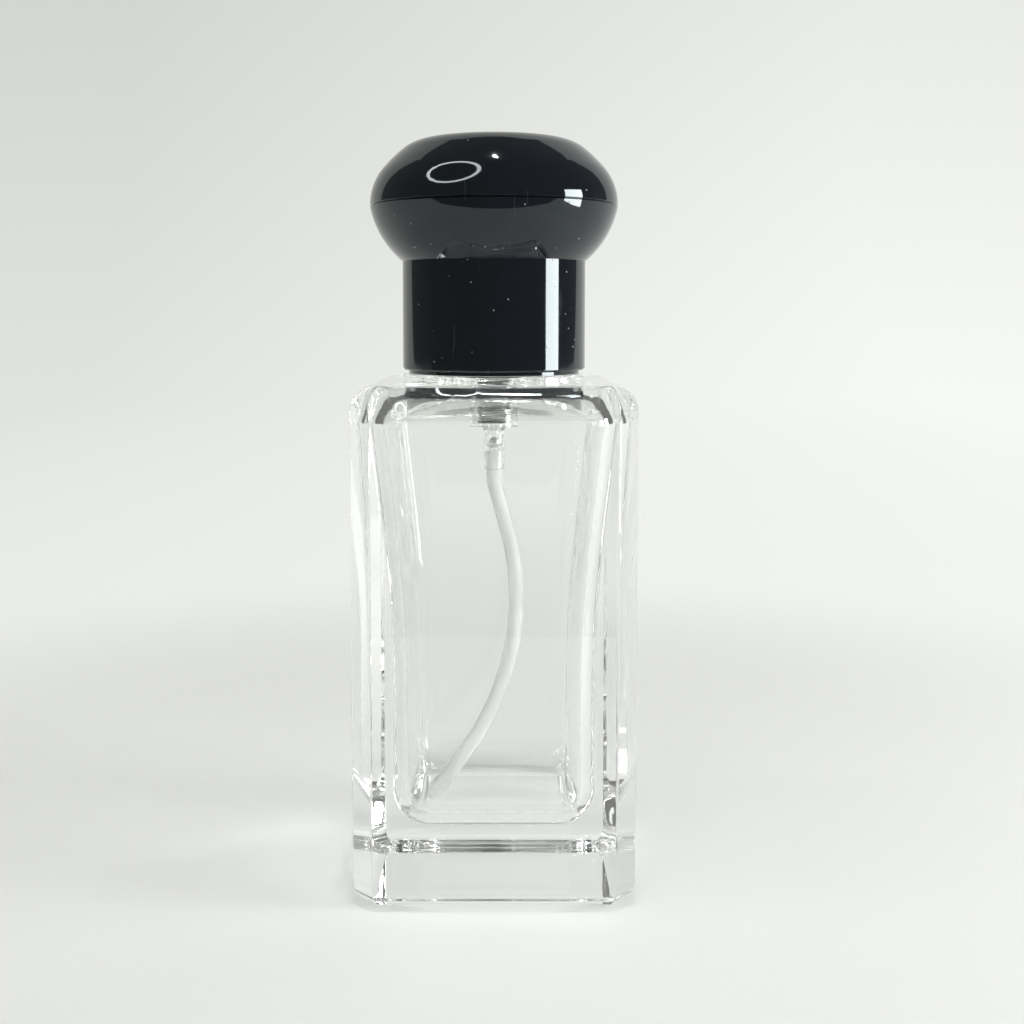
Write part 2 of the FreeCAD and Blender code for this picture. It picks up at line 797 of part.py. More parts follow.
def return_spring():
    """An open coil of even pitch between the chamber's floor and the poppet."""
    wire_radius = sizes.wire_radius.number
    coil_radius = sizes.spring_radius.number
    foot = chamber_floor.number + wire_radius + sizes.running_gap.number
    rise = poppet_foot.number - wire_radius - sizes.running_gap.number - foot
    quarters = 4 * int(sizes.spring_turns.number)
    pitch = rise / sizes.spring_turns.number

    def point(turns):
        angle = 2 * math.pi * turns
        return Vector(coil_radius * math.cos(angle), coil_radius * math.sin(angle), foot + pitch * turns)

    def way(turns):
        angle = 2 * math.pi * turns
        around = 2 * math.pi * coil_radius
        return Vector(-around * math.sin(angle), around * math.cos(angle), pitch).normalize()

    arcs = []
    for quarter in range(quarters):
        begin = quarter / 4
        end = begin + 1 / 4
        arcs += biarc(point(begin), way(begin), point(end), way(end))
    line = Part.Wire(arcs)
    section = wire_section(point(0), way(0), Vector(1, 0, 0))
    spring = document.addObject("Part::Feature", "return_spring")
    spring.Shape = line.makePipeShell([section], True, False)
    points_per_turn = 48
    places = [point(number / points_per_turn) for number in range(int(points_per_turn * quarters / 4) + 1)]
    apart = points_per_turn // 2
    least = min(
        (places[one] - places[two]).Length
        for one in range(len(places))
        for two in range(one + apart, min(one + 2 * points_per_turn, len(places)))
    )
    print(f"spring pitch {pitch:.2f} mm, least gap to itself {least - 2 * wire_radius:.2f} mm")
    return spring


def poppet():
    """A plug pressed into the stem's foot: a disc on the spring and a pin inside the coil."""
    spigot = sizes.stem_bore - sizes.press_gap
    pin_foot = poppet_foot - sizes.poppet_pin_length
    return turned_body("poppet", [
        line_to(0, pin_foot),
        line_to(sizes.poppet_pin_radius - sizes.poppet_pin_bevel, pin_foot),
        line_to(sizes.poppet_pin_radius, pin_foot + sizes.poppet_pin_bevel),
        line_to(sizes.poppet_pin_radius, poppet_foot),
        line_to(sizes.poppet_radius, poppet_foot),
        line_to(sizes.poppet_radius, poppet_top),
        line_to(spigot, poppet_top),
        line_to(spigot, poppet_top + sizes.poppet_spigot_length),
        line_to(0, poppet_top + sizes.poppet_spigot_length),
    ])


def stem():
    """Hollow stem with a waist for the piston and a cross port that the piston covers at rest."""
    body = turned_body("stem", [
        line_to(sizes.stem_bore, poppet_top),
        line_to(sizes.stem_waist, poppet_top),
        line_to(sizes.stem_waist, stem_shoulder),
        line_to(sizes.stem_radius, stem_shoulder),
        line_to(sizes.stem_radius, stem_top),
        line_to(sizes.stem_bore, stem_top),
    ])
    port = new_sketch(body, "port_outline", "XZ_Plane")
    draw_circle(port, 0, poppet_top + sizes.stem_port_rise, sizes.stem_port_radius)
    cross_hole(body, port, "port")
    return body


def piston():
    """A spool with a sealing lip at each end."""
    bore = sizes.stem_waist + sizes.running_gap
    rim = chamber_bore - sizes.running_gap
    top = piston_foot + sizes.piston_height
    slope = rim - sizes.piston_waist
    return turned_body("piston", [
        line_to(bore, piston_foot),
        line_to(rim, piston_foot),
        line_to(rim, piston_foot + sizes.piston_lip),
        line_to(sizes.piston_waist, piston_foot + sizes.piston_lip + slope),
        line_to(sizes.piston_waist, top - sizes.piston_lip - slope),
        line_to(rim, top - sizes.piston_lip),
        line_to(rim, top),
        line_to(bore, top),
    ])


def actuator():
    """Push button: an open skirt round a hub that takes the stem, and a socket for the nozzle."""
    edge = sizes.actuator_edge_round
    radius = sizes.actuator_radius
    rim = radius - edge
    dish_radius = (rim * rim + sizes.actuator_dish * sizes.actuator_dish) / (sizes.actuator_dish * 2)
    hub_bore = sizes.stem_radius + sizes.running_gap
    body = turned_body("actuator", [
        line_to(0, nozzle_height),
        line_to(sizes.feed_radius, nozzle_height),
        line_to(sizes.feed_radius, stem_top + sizes.running_gap),
        line_to(hub_bore, stem_top + sizes.running_gap),
        line_to(hub_bore, hub_foot),
        line_to(sizes.actuator_hub_radius, hub_foot),
        line_to(sizes.actuator_hub_radius, hollow_top),
        line_to(radius - sizes.actuator_wall, hollow_top),
        line_to(radius - sizes.actuator_wall, actuator_foot),
        line_to(radius, actuator_foot),
        line_to(radius, actuator_top - edge),
        left_arc(rim, actuator_top, edge),
        right_arc(0, actuator_top - sizes.actuator_dish, dish_radius),
    ])
    feed = new_sketch(body, "feed_outline", "XZ_Plane")
    draw_circle(feed, 0, nozzle_height, sizes.feed_radius)
    front_hole(body, feed, "feed", radius - sizes.nozzle_depth + sizes.feed_radius)
    seat = new_sketch(body, "nozzle_outline", "XZ_Plane", radius - sizes.nozzle_depth)
    draw_circle(seat, 0, nozzle_height, sizes.nozzle_radius)
    front_hole(body, seat, "nozzle_seat", sizes.nozzle_depth + radius)
    return body


def nozzle_insert():
    """A small cup with the spray hole in its face, laid on its side with the face to the front."""
    outer = sizes.nozzle_radius - sizes.press_gap
    inner = outer - sizes.nozzle_wall
    length = sizes.nozzle_depth - sizes.nozzle_rim_recess
    face = length - sizes.nozzle_wall
    dish = sizes.nozzle_wall / 2
    body = turned_body("nozzle_insert", [
        line_to(inner, 0),
        line_to(outer, 0),
        line_to(outer, length),
        line_to(inner, length),
        line_to(sizes.orifice_radius, length - dish),
        line_to(sizes.orifice_radius, face),
        line_to(inner, face),
    ])
    back = sizes.nozzle_depth - sizes.actuator_radius
    body.Placement = Placement(Vector(0, back.number, nozzle_height.number), Rotation(Vector(1, 0, 0), 90))
    bind(body, "Placement.Base.y", back)
    bind(body, "Placement.Base.z", nozzle_height)
    return body


def cap_shell():
    """Skirt and lower half of the mushroom, with a ledge for the liner and a lip at the seam."""
    foot_edge = sizes.skirt_edge_bevel
    ledge = skirt_top + sizes.ledge_rise
    ledge_radius = skirt_inside + sizes.ledge_width
    tongue_foot = seam_height - sizes.tongue_length
    lip_inside = sizes.dome_radius - sizes.seam_lip
    bevel = sizes.seam_bevel
    return turned_body("cap_shell", [
        line_to(skirt_inside, cap_foot),
        line_to(skirt_radius - foot_edge, cap_foot),
        line_to(skirt_radius, cap_foot + foot_edge),
        line_to(skirt_radius, skirt_top),
        left_arc(sizes.dome_radius, seam_height - bevel, sizes.dome_lower_radius),
        line_to(sizes.dome_radius - bevel, seam_height),
        line_to(lip_inside, seam_height),
        line_to(lip_inside, tongue_foot),
        line_to(dome_inside, tongue_foot),
        line_to(ledge_radius, ledge + sizes.liner_flange_thickness + sizes.running_gap),
        line_to(ledge_radius, ledge),
        line_to(skirt_inside, ledge),
    ])


def cap_dome():
    """Upper half: a side round, a zone of a sphere, an edge round and a flat crown, all tangent."""
    bevel = sizes.seam_bevel
    start = seam_height + bevel
    side = sizes.dome_radius * sizes.dome_side_share
    sphere = sizes.dome_radius * sizes.dome_sphere_share
    edge = sizes.dome_radius * sizes.dome_edge_share
    crown = sizes.dome_radius * sizes.dome_crown_share
    # Centres of the rounds, which touch the sphere from inside
    side_x = sizes.dome_radius - side
    sphere_drop = root((sphere - side) * (sphere - side) - side_x * side_x)
    sphere_y = start - sphere_drop
    crown_y = cap_top - crown
    apart = sphere_y - crown_y
    crown_reach = (crown - edge) * (crown - edge)
    sphere_reach = (sphere - edge) * (sphere - edge)
    edge_rise = (crown_reach - sphere_reach + apart * apart) / (apart * 2)
    edge_x = root(crown_reach - edge_rise * edge_rise)
    # Points where one round hands over to the next
    side_share = sphere / (sphere - side)
    edge_share = sphere / (sphere - edge)
    crown_share = crown / (crown - edge)
    ceiling = cap_top - sizes.dome_wall
    inner_round = ceiling - start
    tongue_outside = sizes.dome_radius - sizes.seam_lip - sizes.press_gap
    tongue_foot = seam_height - sizes.tongue_length + sizes.running_gap
    return turned_body("cap_dome", [
        line_to(dome_inside, tongue_foot),
        line_to(tongue_outside, tongue_foot),
        line_to(tongue_outside, seam_height),
        line_to(sizes.dome_radius - bevel, seam_height),
        line_to(sizes.dome_radius, start),
        left_arc(side_x * side_share, sphere_y + sphere_drop * side_share, side),
        left_arc(edge_x * edge_share, sphere_y + (crown_y + edge_rise - sphere_y) * edge_share, sphere),
        left_arc(edge_x * crown_share, crown_y + edge_rise * crown_share, edge),
        left_arc(0, cap_top, crown),
        line_to(0, ceiling),
        line_to(dome_inside - inner_round, ceiling),
        right_arc(dome_inside, start, inner_round),
    ])


def cap_liner():
    """Sleeve inside the skirt, hung on the ledge by a flange, with upright ribs that grip the collar."""
    ledge = skirt_top + sizes.ledge_rise
    foot = cap_foot + sizes.liner_foot_gap
    flange = skirt_inside + sizes.ledge_width - sizes.loose_gap
    body = turned_body("cap_liner", [
        line_to(liner_inside, foot),
        line_to(liner_outside, foot),
        line_to(liner_outside, ledge),
        line_to(flange, ledge),
        line_to(flange, ledge + sizes.liner_flange_thickness),
        line_to(liner_inside, ledge + sizes.liner_flange_thickness),
    ])
    rib_inside = collar_outside + sizes.running_gap
    rib_outside = liner_inside + sizes.liner_wall / 2
    half = sizes.rib_width / 2
    plan = new_sketch(body, "rib_plan", "XY_Plane", foot)
    draw_outline(plan, [
        line_to(rib_inside, -half), line_to(rib_outside, -half),
        line_to(rib_outside, half), line_to(rib_inside, half),
    ])
    height = collar_top - foot - sizes.collar_edge_bevel
    rib = body.newObject("PartDesign::Pad", "rib")
    rib.Profile = plan
    rib.Length = height.number
    bind(rib, "Length", height)
    document.recompute()
    ribs = body.newObject("PartDesign::PolarPattern", "ribs")
    ribs.Originals = [rib]
    ribs.Axis = (plan, ["N_Axis"])
    ribs.Angle = 360
    ribs.Occurrences = int(sizes.rib_count.number)
    bind(ribs, "Occurrences", sizes.rib_count)
    body.Tip = ribs
    document.recompute()
    return body


SUB_PARTS = [
    bottle, neck_gasket, pump_housing, turret, ferrule, collar, dip_tube, inlet_ball, return_spring,
    poppet, stem, piston, actuator, nozzle_insert, cap_shell, cap_dome, cap_liner,
]


def check(parts):
    """Stop unless every object of the document and every sub-part's shape is sound."""
    for item in document.Objects:
        if {"Invalid", "Error"} & set(item.State):
            raise RuntimeError(f"{item.Name} failed: {item.State}")
    for part in parts:
        if part.Shape.isNull() or not part.Shape.isValid() or len(part.Shape.Solids) != 1:
            raise RuntimeError(f"{part.Label} is not one sound solid")


def main():
    parts = [build() for build in SUB_PARTS]
    document.recompute()
    check(parts)
    os.makedirs("parts", exist_ok=True)
    for part in parts:
        part.Shape.exportStep(os.path.join("parts", f"{part.Label}.step"))
        box = part.Shape.BoundBox
        print(f"{part.Label}: {part.Shape.Volume:.1f} mm3, z {box.ZMin:.2f} to {box.ZMax:.2f}")


main()
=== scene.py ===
import math

import bmesh
import bpy
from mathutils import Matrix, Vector


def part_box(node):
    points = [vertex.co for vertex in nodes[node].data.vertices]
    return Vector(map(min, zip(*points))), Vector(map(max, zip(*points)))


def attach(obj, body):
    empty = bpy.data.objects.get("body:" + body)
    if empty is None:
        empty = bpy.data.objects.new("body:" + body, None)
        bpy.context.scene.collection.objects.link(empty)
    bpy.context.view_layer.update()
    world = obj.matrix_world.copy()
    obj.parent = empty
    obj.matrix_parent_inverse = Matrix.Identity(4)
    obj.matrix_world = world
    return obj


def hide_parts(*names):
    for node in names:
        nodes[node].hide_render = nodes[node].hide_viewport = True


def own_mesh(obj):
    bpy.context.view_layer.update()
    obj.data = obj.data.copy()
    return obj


MM = 0.001
UP = Vector((0, 0, 1))

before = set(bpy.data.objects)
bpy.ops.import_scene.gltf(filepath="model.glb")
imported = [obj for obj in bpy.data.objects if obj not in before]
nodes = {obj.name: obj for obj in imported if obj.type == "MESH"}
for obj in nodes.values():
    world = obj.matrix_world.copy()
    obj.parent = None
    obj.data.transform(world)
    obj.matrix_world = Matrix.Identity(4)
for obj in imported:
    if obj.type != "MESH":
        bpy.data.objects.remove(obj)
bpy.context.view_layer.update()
scene = bpy.context.scene

# Materials: the span that a noise texture mostly keeps to, and how sharply specks are picked
NOISE_SPAN = (0.3, 0.7)
SPECK_EDGE = 0.05


class Tree:
    """A material's node tree, with short calls to add nodes and join them."""

    def __init__(self, name):
        self.material = bpy.data.materials.new(name)
        self.material.use_nodes = True
        self.nodes = self.material.node_tree.nodes
        self.links = self.material.node_tree.links
        self.nodes.clear()
        self.output = self.nodes.new("ShaderNodeOutputMaterial")

    def add(self, kind, **settings):
        node = self.nodes.new(kind)
        for name, value in settings.items():
            setattr(node, name, value)
        return node

    def join(self, source, target):
        self.links.new(source, target)

    def places(self, stretch=(1, 1, 1), turn=(0, 0, 0)):
        """The object's own metres, stretched and then turned."""
        coordinates = self.add("ShaderNodeTexCoord")
        mapping = self.add("ShaderNodeMapping", vector_type="POINT")
        mapping.inputs["Rotation"].default_value = turn
        mapping.inputs["Scale"].default_value = stretch
        self.join(coordinates.outputs["Object"], mapping.inputs["Vector"])
        return mapping.outputs["Vector"]

    def part(self, source, axis):
        """One coordinate of a point, from "Object", or of the way the surface faces, from "Normal"."""
        coordinates = self.add("ShaderNodeTexCoord")
        parts = self.add("ShaderNodeSeparateXYZ")
        self.join(coordinates.outputs[source], parts.inputs["Vector"])
        return parts.outputs[axis]

    def noise(self, scale, detail, stretch=(1, 1, 1), turn=(0, 0, 0)):
        texture = self.add("ShaderNodeTexNoise")
        texture.inputs["Scale"].default_value = scale
        texture.inputs["Detail"].default_value = detail
        self.join(self.places(stretch, turn), texture.inputs["Vector"])
        return texture.outputs["Fac"]

    def ramp(self, value, span, onto=(0.0, 1.0), smooth=False):
        """Map a span of a value onto another span, and hold it at the ends."""
        ranged = self.add("ShaderNodeMapRange")
        ranged.interpolation_type = "SMOOTHSTEP" if smooth else "LINEAR"
        ranged.inputs["From Min"].default_value = span[0]
        ranged.inputs["From Max"].default_value = span[1]
        ranged.inputs["To Min"].default_value = onto[0]
        ranged.inputs["To Max"].default_value = onto[1]
        self.join(value, ranged.inputs["Value"])
        return ranged.outputs["Result"]

    def combine(self, operation, first, second):
        math_node = self.add("ShaderNodeMath", operation=operation)
        self.join(first, math_node.inputs[0])
        self.join(second, math_node.inputs[1])
        return math_node.outputs["Value"]

    def blend(self, share, first, second):
        """A colour between two colours, by share."""
        mix = self.add("ShaderNodeMix", data_type="RGBA")
        mix.inputs["A"].default_value = (*first, 1)
        mix.inputs["B"].default_value = (*second, 1)
        self.join(share, mix.inputs["Factor"])
        return mix.outputs["Result"]

    def cover(self, share, below, colour):
        """A colour laid over what another node gives, by share."""
        mix = self.add("ShaderNodeMix", data_type="RGBA")
        mix.inputs["B"].default_value = (*colour, 1)
        self.join(share, mix.inputs["Factor"])
        self.join(below, mix.inputs["A"])
        return mix.outputs["Result"]

    def bump(self, height, strength, distance):
        node = self.add("ShaderNodeBump")
        node.inputs["Strength"].default_value = strength
        node.inputs["Distance"].default_value = distance
        self.join(height, node.inputs["Height"])
        return node.outputs["Normal"]

    def principled(self, **sockets):
        shader = self.add("ShaderNodeBsdfPrincipled")
        for name, value in sockets.items():
            shader.inputs[name.replace("_", " ")].default_value = value
        self.join(shader.outputs["BSDF"], self.output.inputs["Surface"])
        return shader

    def specks(self, scale, size, share):
        """Scattered grains: size is their radius in texture cells, share how many cells have one."""
        cells = self.add("ShaderNodeTexVoronoi")
        cells.inputs["Scale"].default_value = scale
        self.join(self.places(), cells.inputs["Vector"])
        bare = 1.0 - share
        picked = self.ramp(cells.outputs["Color"], (bare, bare + share * SPECK_EDGE))
        near = self.ramp(cells.outputs["Distance"], (size / 2, size), (1.0, 0.0))
        return self.combine("MULTIPLY", near, picked)


def paint(material, *names):
    """Give CAD nodes a material in place of their own."""
    for name in names:
        node = nodes[name]
        node.data.materials.clear()
        node.data.materials.append(material)


GLASS_TINT = (0.975, 0.985, 0.975, 1)


def clear_glass():
    """Soda-lime glass, a little grey-green, with the soft waves of a moulded surface."""
    tree = Tree("clear_glass")
    shader = tree.principled(Base_Color=GLASS_TINT, Roughness=0.0, IOR=1.51, Transmission_Weight=1.0)
    waves = tree.noise(scale=90.0, detail=1.0)
    tree.join(tree.bump(waves, strength=0.05, distance=0.2 * MM), shader.inputs["Normal"])
    return tree.material


# Black plastic. UNDERSIDE is how far along Z a surface faces where the painted light underneath is full and
# where it ends
BLACK = (0.0035, 0.0052, 0.0085)
BLACK_GLOSS_TINT = (0.88, 0.97, 1.0, 1)
BLACK_ROUGHNESS = (0.03, 0.07)
DUST_COLOUR = (0.4, 0.42, 0.42)
HAIR_STRETCH = (60, 2, 3)
HAIR_TURN = (0.3, 0.9, 0.5)
HAIR_EDGE = (0.75, 0.77)
HAIR_STRENGTH = 0.04
UNDERSIDE = (-0.95, -0.8)
UNDERSIDE_PAINTED_LIGHT = (0.78, 0.8, 0.78)


def gloss_black(name, dust_share, painted_light_below=False):
    """Polished black plastic with dust and hair scratches, and if asked a dull underside with painted light
    on it.
    """
    tree = Tree(name)
    shader = tree.principled(IOR=1.55, Specular_Tint=BLACK_GLOSS_TINT)
    dust = tree.specks(scale=700.0, size=0.08, share=dust_share)
    hairs = tree.noise(scale=40.0, detail=1.0, stretch=HAIR_STRETCH, turn=HAIR_TURN)
    marks = tree.combine("MAXIMUM", dust, tree.ramp(hairs, HAIR_EDGE, (0.0, HAIR_STRENGTH)))
    colour = tree.blend(marks, BLACK, DUST_COLOUR)
    polish = tree.ramp(tree.noise(scale=160.0, detail=4.0), NOISE_SPAN, BLACK_ROUGHNESS)
    roughness = tree.combine("MAXIMUM", polish, marks)
    if painted_light_below:
        # Painted light: faces that look down are paled, as if lit by the pale paper below
        below = tree.ramp(tree.part("Normal", "Z"), UNDERSIDE, (1.0, 0.0))
        colour = tree.cover(below, colour, UNDERSIDE_PAINTED_LIGHT)
        roughness = tree.combine("MAXIMUM", roughness, below)
    tree.join(colour, shader.inputs["Base Color"])
    tree.join(roughness, shader.inputs["Roughness"])
    return tree.material


HOUSING_TINT = (0.985, 0.99, 0.985, 1)
HOUSING_ROUGHNESS = (0.02, 0.06)
FROST_HEIGHTS = (57.5 * MM, 59.0 * MM)
FROST_ROUGHNESS = 0.2


def housing_plastic():
    """Unpigmented hard plastic: a clear barrel, and frosty below it, where the tube is pushed in."""
    tree = Tree("housing_plastic")
    shader = tree.principled(Base_Color=HOUSING_TINT, IOR=1.49, Transmission_Weight=0.97)
    frost = tree.ramp(tree.part("Object", "Z"), FROST_HEIGHTS, (FROST_ROUGHNESS, 0.0))
    clouds = tree.ramp(tree.noise(scale=1500.0, detail=3.0), NOISE_SPAN, HOUSING_ROUGHNESS)
    tree.join(tree.combine("ADD", frost, clouds), shader.inputs["Roughness"])
    return tree.material


TUBE_TINT = (0.995, 0.995, 0.99, 1)
TUBE_ROUGHNESS = (0.2, 0.26)
TUBE_LIGHT_REACH = 0.4 * MM


def tube_plastic():
    """Soft, milky plastic that lets light through, a little cloudy."""
    tree = Tree("tube_plastic")
    shader = tree.principled(Base_Color=TUBE_TINT, IOR=1.49, Transmission_Weight=0.6)
    shader.inputs["Subsurface Weight"].default_value = 1.0
    shader.inputs["Subsurface Radius"].default_value = (1, 1, 1)
    shader.inputs["Subsurface Scale"].default_value = TUBE_LIGHT_REACH
    clouds = tree.ramp(tree.noise(scale=3000.0, detail=2.0), NOISE_SPAN, TUBE_ROUGHNESS)
    tree.join(clouds, shader.inputs["Roughness"])
    return tree.material


CLOUDS_LIGHTER = 1.1
GRAIN_SMOOTHER = 0.7
GRAIN_ROUGHER = 1.3
GRAIN_DEPTH = 0.05 * MM
RINGS = (0.05, 0.05, 2)


def opaque(name, colour, roughness, relief, metallic=0.0, stretch=(1, 1, 1)):
    """A surface with faint clouds in its colour and a fine grain, which stretch can draw out."""
    tree = Tree(name)
    shader = tree.principled(Metallic=metallic)
    lighter = tuple(min(1.0, channel * CLOUDS_LIGHTER) for channel in colour)
    clouds = tree.blend(tree.noise(scale=400.0, detail=3.0), colour, lighter)
    tree.join(clouds, shader.inputs["Base Color"])
    grain = tree.noise(scale=2500.0, detail=4.0, stretch=stretch)
    span = (roughness * GRAIN_SMOOTHER, roughness * GRAIN_ROUGHER)
    tree.join(tree.ramp(grain, NOISE_SPAN, span), shader.inputs["Roughness"])
    tree.join(tree.bump(grain, relief, GRAIN_DEPTH), shader.inputs["Normal"])
    return tree.material


def metal(name, colour, roughness, relief, stretch=(1, 1, 1)):
    return opaque(name, colour, roughness, relief, metallic=1.0, stretch=stretch)


steel = metal("spring_steel", (0.11, 0.11, 0.115), roughness=0.25, relief=0.05)
white = opaque("white_plastic", (0.8, 0.8, 0.78), roughness=0.4, relief=0.15)
ball_steel = metal("ball_steel", (0.68, 0.68, 0.67), roughness=0.12, relief=0.02)
aluminium = metal("aluminium", (0.75, 0.75, 0.76), roughness=0.3, relief=0.3, stretch=RINGS)
rubber = opaque("rubber", (0.03, 0.03, 0.03), roughness=0.6, relief=0.4)
paint(clear_glass(), "bottle")
paint(gloss_black("dome_black", dust_share=0.3), "cap_dome")
paint(gloss_black("shell_black", dust_share=0.95), "cap_shell")
paint(gloss_black("pump_black", dust_share=0.2), "actuator", "nozzle_insert")
paint(gloss_black("collar_black", dust_share=0.2, painted_light_below=True), "collar")
paint(housing_plastic(), "pump_housing")
paint(tube_plastic(), "dip_tube")
paint(white, "turret", "stem", "poppet", "piston", "cap_liner")
paint(ball_steel, "inlet_ball")
paint(aluminium, "ferrule")
paint(rubber, "neck_gasket")


def around(turns):
    """The level direction after so many turns about Z."""
    angle = 2 * math.pi * turns
    return Vector((math.cos(angle), math.sin(angle), 0))


def finished_mesh(name, shape):
    mesh = bpy.data.meshes.new(name)
    shape.to_mesh(mesh)
    shape.free()
    return mesh


def tube_mesh(name, path, radius, sides, closed):
    """A round tube along a path of points, each with the level direction out from the path's axis."""
    shape = bmesh.new()
    rings = []
    for middle, outwards in path:
        ring = []
        for side in range(sides):
            angle = 2 * math.pi * side / sides
            offset = outwards * math.cos(angle) + UP * math.sin(angle)
            ring.append(shape.verts.new(middle + offset * radius))
        rings.append(ring)
    following = rings[1:] + rings[:1] if closed else rings[1:]
    for here, onward in zip(rings, following):
        for side in range(sides):
            beside = (side + 1) % sides
            face = shape.faces.new((here[side], here[beside], onward[beside], onward[side]))
            face.smooth = True
    if not closed:
        shape.faces.new(reversed(rings[0]))
        shape.faces.new(rings[-1])
    bmesh.ops.recalc_face_normals(shape, faces=shape.faces)
    return finished_mesh(name, shape)


# The return spring: round wire with close coils at both ends
SPRING_WIRE = 0.3 * MM
SPRING_TURNS = 14
SPRING_CLOSE_BELOW = 3.0
SPRING_CLOSE_ABOVE = 2.0
SPRING_OPENING_TURNS = 0.6
SPRING_STEPS_PER_TURN = 32
SPRING_WIRE_SIDES = 10


def ease(share):
    """0 up to a share of 0, 1 from a share of 1, and smooth between them."""
    share = min(1.0, max(0.0, share))
    return share * share * (3 - 2 * share)


def spring_openness(turn):
    """0 where the coils lie close, 1 where they stand open."""
    from_below = ease((turn - SPRING_CLOSE_BELOW) / SPRING_OPENING_TURNS)
    from_above = ease((SPRING_TURNS - SPRING_CLOSE_ABOVE - turn) / SPRING_OPENING_TURNS)
    return from_below * from_above


def spring_path(foot, top, radius):
    """The wire's middle line, as points with the way out from the axis at each."""
    steps = SPRING_TURNS * SPRING_STEPS_PER_TURN
    openness = [spring_openness(step / SPRING_STEPS_PER_TURN) for step in range(steps)]
    spare = (top - foot - SPRING_WIRE * (SPRING_TURNS + 1)) / sum(openness)
    height = foot + SPRING_WIRE / 2
    path = []
    for step in range(steps + 1):
        outwards = around(step / SPRING_STEPS_PER_TURN)
        path.append((outwards * radius + UP * height, outwards))
        if step < steps:
            height += SPRING_WIRE / SPRING_STEPS_PER_TURN + spare * openness[step]
    return path


def add_spring():
    low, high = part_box("return_spring")
    radius = (high.x - low.x) / 2 - SPRING_WIRE / 2
    path = spring_path(low.z, high.z, radius)
    wire = tube_mesh("return_spring_wire", path, SPRING_WIRE / 2, SPRING_WIRE_SIDES, closed=False)
    spring = bpy.data.objects.new("return_spring_wire", wire)
    spring.data.materials.append(steel)
    scene.collection.objects.link(spring)
    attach(spring, "bottle")
    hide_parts("return_spring")
    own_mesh(spring)


add_spring()

# Camera: its focal length is in pixels of the picture, and its dip below level in degrees
SENSOR = 36.0
PICTURE_WIDTH = 1024
FOCAL_PIXELS = 1332.5
CAMERA_SHIFT_X = 0.0176
CAMERA_SHIFT_Y = -0.0914
CAMERA_NEAREST = 0.01
CAMERA_PLACE = (0, -0.1755, 0.07317)
CAMERA_DIP = 4.504


def add_camera():
    optics = bpy.data.cameras.new("camera")
    optics.sensor_width = SENSOR
    optics.lens = FOCAL_PIXELS / PICTURE_WIDTH * SENSOR
    optics.shift_x = CAMERA_SHIFT_X
    optics.shift_y = CAMERA_SHIFT_Y
    optics.clip_start = CAMERA_NEAREST
    camera = bpy.data.objects.new("camera", optics)
    camera.location = CAMERA_PLACE
    camera.rotation_euler = (math.radians(90 - CAMERA_DIP), 0, 0)
    scene.collection.objects.link(camera)
    scene.camera = camera


add_camera()

# Floor and backdrop: pale paper that sweeps up behind the bottle, and a second sheet in front of it
PAPER_HALF_WIDTH = 1.6
PAPER_FRONT = -0.157
FRONT_SHEET_END = -1.6
PAPER_BEND = 0.85
PAPER_BEND_RADIUS = 0.3
PAPER_TOP = 2.2
PAPER_BEND_STEPS = 12
FLOOR_DROP = 0.05 * MM
# Its looks: painted light paler right than left, painted shade at the top, and the plain colour's share by
# distance
PAPER_MATT = (0.78, 0.79, 0.775, 1)
PAPER_LEFT_PAINTED_SHADE = (0.775, 0.79, 0.758)
PAPER_RIGHT_PAINTED_LIGHT = (0.967, 0.983, 0.951)
PAPER_ACROSS = (-0.35, 0.35)
PAPER_HEIGHTS = (0.0, 0.4)
PAINTED_SHADE_STRENGTHS = (1.0, 0.865)
SHADOW_DISTANCES = (0.085, 0.2)
SHADOW_SHARES = (0.4, 0.95)
# Painted light: a pool of plain colour right under the glass, where little lamp light gets through
PAINTED_POOL_DISTANCES = (0.0175, 0.022)
PAINTED_POOL_SHARES = (0.8, 0.0)


def paper_profile():
    places = [(PAPER_FRONT, 0.0), (PAPER_BEND, 0.0)]
    for step in range(1, PAPER_BEND_STEPS + 1):
        angle = math.pi / 2 * step / PAPER_BEND_STEPS
        rise = PAPER_BEND_RADIUS * (1 - math.cos(angle))
        places.append((PAPER_BEND + PAPER_BEND_RADIUS * math.sin(angle), rise))
    places.append((PAPER_BEND + PAPER_BEND_RADIUS, PAPER_TOP))
    return places


def sheet_mesh(name, profile):
    shape = bmesh.new()
    sides = (-PAPER_HALF_WIDTH, PAPER_HALF_WIDTH)
    rows = [[shape.verts.new((x, y, z - FLOOR_DROP)) for x in sides] for y, z in profile]
    for near, far in zip(rows[:-1], rows[1:]):
        face = shape.faces.new((near[0], near[1], far[1], far[0]))
        face.smooth = True
    return finished_mesh(name, shape)


